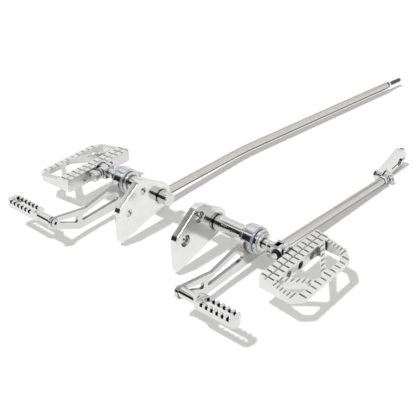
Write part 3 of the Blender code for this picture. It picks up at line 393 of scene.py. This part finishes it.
# Stainless steel, brushed lengthwise: warm grey, with painted reflection bands along it and
# painted shade on its underside. The brush's scratches are 0.1 mm wide, too fine to show, and are
# drawn 1.5 mm wide and a third of a metre long.
brushed_stainless = metal("brushed stainless", "#DEDBD7", 0.12, 0.04, (1.54, 333.0, 1.54),
                          0.00006)
tree = brushed_stainless.node_tree
# Painted reflection bands and painted shade underneath, by how far each face looks up or down.
around = add_node(tree, "ShaderNodeMapRange", {
    "Value": facing(tree, "Z"), "From Min": -1.0, "From Max": 1.0})
darken(brushed_stainless, greys(tree, around.outputs[0], ROD_PAINTED_BANDS))
for rod in RODS.values():
    show(rod, rod, brushed_stainless)


# Splined arm. It is milled from aluminium: its splined bore takes the gearbox's shift shaft, and
# a black bolt across its slit pinches it tight. A second rod end and jam nut, bright steel, join
# it to the shift rod, on a ball that is bolted to the arm.
for piece in ("far_rod_end", "far_jam_nut"):
    show(piece, "shift_rod", bright_steel)
for piece in ("far_ball", "far_bolt", "far_nut"):
    show(piece, "splined_arm", bright_steel)
show("splined_arm", "splined_arm", bored_aluminium)
show("pinch_bolt", "splined_arm", dark_steel)


# Brake rod's stud. A 1/4 inch steel stud is screwed into the far end and locked by a bright
# collar nut. Where the nut meets the rod, a narrow black band is painted round it.
STUD_AXIS = Vector((0.131897, 0.991263, 0.000467)).normalized()
BAND_BLACK = "#1C1B1A"
BAND_ENDS = (0.6306, 0.6314)      # its black fades out here, along the axis from the origin

# Steel, turned and plated: bright, with a narrow black band painted at the end that meets the rod.
banded_steel = metal("bright steel with a black band", "#E6E6E6", 0.12, 0.04,
                      (1.11, 1.11, 1.11), 0.00002)
tree = banded_steel.node_tree
place = add_node(tree, "ShaderNodeTexCoord").outputs["Object"]
along = add_node(tree, "ShaderNodeVectorMath", {0: place, 1: STUD_AXIS}, operation="DOT_PRODUCT")
black_band = add_node(tree, "ShaderNodeMapRange", {
    "Value": along.outputs["Value"], "From Min": BAND_ENDS[0], "From Max": BAND_ENDS[1],
    "To Min": 1.0, "To Max": 0.0})
cover(banded_steel, BAND_BLACK, black_band.outputs[0])
show("stud_nut", "brake_rod", banded_steel)

# Steel, thread-rolled and oiled: dark grey, with a dull glint on each crest.
threaded_steel = metal("threaded steel", "#66625C", 0.25, 0.05, (1.11, 1.11, 1.11), 0.00002,
                       metallic=0.8)
show("rod_stud", "brake_rod", threaded_steel)


# Thread of the stud. Its turns are 1.27 mm apart (20 to the inch) and rolled into the steel, and
# each is drawn as a closed V ring: a real turn slopes 4 degrees, too little to show.
THREAD_PITCH = 0.00127
STUD_MIDDLE = Vector((-0.070222, 0.656285, -0.043516))
STUD_HALF, STUD_RADIUS = 0.0268, 0.00318    # half its length, and its radius
TURN_SIDES = 28
TURN_FOOT = 0.8                     # share of the stud's radius, so that the V begins inside it
TURN_RISE = 0.32                    # this and the next two are shares of the pitch
HALF_FOOT, HALF_CREST = 0.42, 0.06
TURN_CREASE = math.radians(30)

foot, crest = STUD_RADIUS * TURN_FOOT, STUD_RADIUS + THREAD_PITCH * TURN_RISE
outline = ((foot, -HALF_FOOT), (crest, -HALF_CREST), (crest, HALF_CREST), (foot, HALF_FOOT))
bm = bmesh.new()
rows = [[bm.verts.new((radius * math.cos(math.tau * i / TURN_SIDES),
                       radius * math.sin(math.tau * i / TURN_SIDES), THREAD_PITCH * height))
         for i in range(TURN_SIDES)] for radius, height in outline]
for low_row, high_row in zip(rows, rows[1:] + rows[:1]):
    for i in range(TURN_SIDES):
        j = (i + 1) % TURN_SIDES
        bm.faces.new((low_row[i], low_row[j], high_row[j], high_row[i]))
bmesh.ops.recalc_face_normals(bm, faces=bm.faces)
turn_mesh = bpy.data.meshes.new("thread_turn")
bm.to_mesh(turn_mesh)
bm.free()
turn = bpy.data.objects.new("thread_turn", turn_mesh)

tree = bpy.data.node_groups.new("rows of turns", "GeometryNodeTree")
tree.interface.new_socket("Geometry", in_out="INPUT", socket_type="NodeSocketGeometry")
for entry, kind in (("Pitch", "Float"), ("Turns", "Int"), ("Turn", "Object"),
                    ("Finish", "Material")):
    tree.interface.new_socket(entry, in_out="INPUT", socket_type="NodeSocket" + kind)
tree.interface.new_socket("Geometry", in_out="OUTPUT", socket_type="NodeSocketGeometry")
given = add_node(tree, "NodeGroupInput").outputs
step = add_node(tree, "ShaderNodeCombineXYZ", {"Z": given["Pitch"]})
row = add_node(tree, "GeometryNodeMeshLine", {"Count": given["Turns"], "Offset": step.outputs[0]})
shape = add_node(tree, "GeometryNodeObjectInfo", {"Object": given["Turn"]})
rings = add_node(tree, "GeometryNodeInstanceOnPoints", {
    "Points": row.outputs["Mesh"], "Instance": shape.outputs["Geometry"]})
solid = add_node(tree, "GeometryNodeRealizeInstances", {"Geometry": rings.outputs[0]})
dressed = add_node(tree, "GeometryNodeSetMaterial", {
    "Geometry": solid.outputs[0], "Material": given["Finish"]})
add_node(tree, "NodeGroupOutput", {"Geometry": dressed.outputs[0]})

holder = bpy.data.objects.new("rod_thread", bpy.data.meshes.new("rod_thread"))
scene.collection.objects.link(holder)
turns = holder.modifiers.new("turns", "NODES")
turns.node_group = tree
socket_of = {item.name: item.identifier for item in tree.interface.items_tree
             if item.in_out == "INPUT"}
turns[socket_of["Pitch"]] = THREAD_PITCH
turns[socket_of["Turns"]] = int(2 * STUD_HALF / THREAD_PITCH)
turns[socket_of["Turn"]] = turn
turns[socket_of["Finish"]] = threaded_steel
holder.update_tag()
bpy.context.view_layer.update()
thread_mesh = bpy.data.meshes.new_from_object(
    holder.evaluated_get(bpy.context.evaluated_depsgraph_get()))
bpy.data.objects.remove(holder)
bpy.data.objects.remove(turn)
thread_mesh.transform(Matrix.Translation(STUD_MIDDLE - STUD_AXIS * STUD_HALF)
                      @ STUD_AXIS.to_track_quat("Z", "Y").to_matrix().to_4x4())
thread_mesh.set_sharp_from_angle(angle=TURN_CREASE)
thread = bpy.data.objects.new("rod_thread", thread_mesh)
scene.collection.objects.link(thread)
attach(thread, "brake_rod")


# Floor. The set lies on a white table, which keeps the soft grey shadows of its pieces. It glows
# a little, up to white, to the eye and in the metal. In the metal alone it also falls into shade
# towards the dark card.
FLOOR_REACH = 6.0
FLOOR_GLOW, SHADE_GLOW = 0.2, 0.05
CARD = (-0.585, -0.811, 0.0)        # where the dark card stands, seen from the origin
SHADE_ENDS = (0.4, 0.8)             # how far towards the card the shade begins and is full

floor_mesh = bpy.data.meshes.new("floor")
corners = ((-FLOOR_REACH, -FLOOR_REACH), (FLOOR_REACH, -FLOOR_REACH),
           (FLOOR_REACH, FLOOR_REACH), (-FLOOR_REACH, FLOOR_REACH))
floor_mesh.from_pydata([(x, y, cad_box[0][2]) for x, y in corners], [], [(0, 1, 2, 3)])
floor = bpy.data.objects.new("floor", floor_mesh)
scene.collection.objects.link(floor)

# Coated white board: matt, a touch warm, and even.
white = bpy.data.materials.new("white floor")
white.use_nodes = True
tree = white.node_tree
tree.nodes.clear()
rays = add_node(tree, "ShaderNodeLightPath").outputs
seen = add_node(tree, "ShaderNodeMath", {
    0: rays["Is Camera Ray"], 1: rays["Is Glossy Ray"]}, operation="MAXIMUM")
seen = add_node(tree, "ShaderNodeMath", {
    0: seen.outputs[0], 1: rays["Is Transmission Ray"]}, operation="MAXIMUM")
lit = add_node(tree, "ShaderNodeBsdfDiffuse", {"Color": linear_colour("#F2F2F1")})
glow = add_node(tree, "ShaderNodeEmission", {
    "Color": linear_colour("#FFFFFF"), "Strength": FLOOR_GLOW})
glowing = add_node(tree, "ShaderNodeAddShader", {0: lit.outputs[0], 1: glow.outputs[0]})
plain = add_node(tree, "ShaderNodeMixShader", {
    0: seen.outputs[0], 1: lit.outputs[0], 2: glowing.outputs[0]})
place = add_node(tree, "ShaderNodeNewGeometry").outputs["Position"]
towards = add_node(tree, "ShaderNodeVectorMath", {0: place, 1: CARD}, operation="DOT_PRODUCT")
shade = add_node(tree, "ShaderNodeMapRange", {
    "Value": towards.outputs["Value"], "From Min": SHADE_ENDS[0], "From Max": SHADE_ENDS[1]},
    interpolation_type="SMOOTHSTEP")
mirrored = add_node(tree, "ShaderNodeMath", {
    0: shade.outputs[0], 1: rays["Is Glossy Ray"]}, operation="MULTIPLY")
dim = add_node(tree, "ShaderNodeEmission", {
    "Color": linear_colour("#FFFFFF"), "Strength": SHADE_GLOW})
last = add_node(tree, "ShaderNodeMixShader", {
    0: mirrored.outputs[0], 1: plain.outputs[0], 2: dim.outputs[0]})
add_node(tree, "ShaderNodeOutputMaterial", {"Surface": last.outputs[0]})
floor_mesh.materials.append(white)


# Studio. It is white all round to the eye. Metal also sees two tall dark cards in front (-Y),
# each with a bright strip over it, and a lid with a dark slot on the right side (-X). They draw
# the dark bands and thin highlights on tubes and edges. Greys run from the horizon to overhead.
SOFT_LIGHT = 0.42
CARD_TWIN = (0.585, -0.811, 0.0)
CARD_ENDS = (0.955, 0.985)          # cosines of the angles at which a card begins and is full
LID = (-0.883, -0.469, 0.0)
LID_ENDS = (0.88, 0.95)
ROOM_GREYS = ((0.0, 0.25), (0.03, 0.35), (0.06, 1.0), (0.20, 1.1), (0.34, 0.95), (0.56, 1.0),
              (0.585, 0.45), (0.615, 0.45), (0.64, 1.05), (0.78, 1.0), (0.88, 1.15), (1.0, 0.85))
LID_GREYS = ((0.0, 0.45), (0.05, 0.7), (0.12, 1.0), (0.66, 1.0), (0.71, 0.9), (0.75, 0.28),
             (0.80, 0.25), (0.86, 0.7), (1.0, 0.9))
CARD_GREYS = ((0.0, 0.03), (0.30, 0.02), (0.52, 0.03), (0.61, 0.12), (0.665, 1.3), (0.71, 1.3),
              (0.74, 0.4), (0.82, 0.5), (0.90, 0.9), (1.0, 0.75))


def sector(tree, compass, middle, ends):
    """How far a compass direction lies in a sector: 0 outside, 1 inside, soft between its ends."""
    towards = add_node(tree, "ShaderNodeVectorMath", {0: compass, 1: middle},
                       operation="DOT_PRODUCT")
    return add_node(tree, "ShaderNodeMapRange", {
        "Value": towards.outputs["Value"], "From Min": ends[0], "From Max": ends[1]},
        interpolation_type="SMOOTHSTEP").outputs[0]


world = bpy.data.worlds.new("studio")
scene.world = world
world.use_nodes = True
tree = world.node_tree
tree.nodes.clear()
rays = add_node(tree, "ShaderNodeLightPath").outputs
look = add_node(tree, "ShaderNodeTexCoord").outputs["Generated"]
height = add_node(tree, "ShaderNodeSeparateXYZ", {"Vector": look}).outputs["Z"]
compass = add_node(tree, "ShaderNodeVectorMath", {0: look, 1: (1, 1, 0)}, operation="MULTIPLY")
compass = add_node(tree, "ShaderNodeVectorMath", {0: compass.outputs[0]}, operation="NORMALIZE")
folded = add_node(tree, "ShaderNodeVectorMath", {0: compass.outputs[0]}, operation="ABSOLUTE")
folded = add_node(tree, "ShaderNodeSeparateXYZ", {"Vector": folded.outputs[0]}).outputs["X"]
ahead = add_node(tree, "ShaderNodeSeparateXYZ", {"Vector": compass.outputs[0]}).outputs["Y"]
folded = add_node(tree, "ShaderNodeCombineXYZ", {"X": folded, "Y": ahead})
under_lid = sector(tree, compass.outputs[0], LID, LID_ENDS)
at_cards = sector(tree, folded.outputs[0], CARD_TWIN, CARD_ENDS)
room = add_node(tree, "ShaderNodeMixRGB", {
    "Fac": under_lid, "Color1": greys(tree, height, ROOM_GREYS),
    "Color2": greys(tree, height, LID_GREYS)})
room = add_node(tree, "ShaderNodeMixRGB", {
    "Fac": at_cards, "Color1": room.outputs[0], "Color2": greys(tree, height, CARD_GREYS)})
mirrored = add_node(tree, "ShaderNodeBackground", {"Color": room.outputs[0], "Strength": 1.0})
backdrop = add_node(tree, "ShaderNodeBackground", {
    "Color": linear_colour("#FFFFFF"), "Strength": 1.0})
soft = add_node(tree, "ShaderNodeBackground", {
    "Color": linear_colour("#FBFBFA"), "Strength": SOFT_LIGHT})
first = add_node(tree, "ShaderNodeMixShader", {
    0: rays["Is Glossy Ray"], 1: soft.outputs[0], 2: mirrored.outputs[0]})
clear = add_node(tree, "ShaderNodeMath", {
    0: rays["Is Camera Ray"], 1: rays["Is Transmission Ray"]}, operation="MAXIMUM")
last = add_node(tree, "ShaderNodeMixShader", {
    0: clear.outputs[0], 1: first.outputs[0], 2: backdrop.outputs[0]})
add_node(tree, "ShaderNodeOutputWorld", {"Surface": last.outputs[0]})


# Key lamp. One far lamp, high above and in front, casts the soft-edged shadows to the rear.
LAMP_LOOKS = Vector((0.15, 0.47, -1.0))
LAMP_STRENGTH, LAMP_WIDTH = 2.0, math.radians(4)
lamp = bpy.data.lights.new("key", "SUN")
lamp.energy, lamp.angle = LAMP_STRENGTH, LAMP_WIDTH
key = bpy.data.objects.new("key", lamp)
key.rotation_euler = LAMP_LOOKS.to_track_quat("-Z", "Y").to_euler()
scene.collection.objects.link(key)


# Camera. It stands where the photograph was taken from. Its place in metres, its turn, dip and
# roll in degrees and its focal length in pixels, of a picture 416 pixels wide, were fitted.
PICTURE_PIXELS, FOCAL_PIXELS = 416, 770.135
SENSOR_MM = 36.0
CAMERA_PLACE = Vector((0.543876, -0.597128, 0.541296))
turned, dip, roll = (math.radians(angle) for angle in (40.474, 32.474, -0.395))
lens = bpy.data.cameras.new("camera")
lens.sensor_width = SENSOR_MM
lens.lens = FOCAL_PIXELS / PICTURE_PIXELS * SENSOR_MM
lens.clip_start, lens.clip_end = 0.01, 50
right = Vector((math.cos(turned), math.sin(turned), 0))
ahead = Vector((-math.sin(turned) * math.cos(dip), math.cos(turned) * math.cos(dip),
                -math.sin(dip)))
up = right.cross(ahead)
right, up = (right * math.cos(roll) + up * math.sin(roll),
             up * math.cos(roll) - right * math.sin(roll))
camera = bpy.data.objects.new("camera", lens)
camera.matrix_world = (Matrix.Translation(CAMERA_PLACE)
                       @ Matrix((right, up, -ahead)).transposed().to_4x4())
scene.collection.objects.link(camera)
scene.camera = camera
scene.view_settings.view_transform = "Standard"
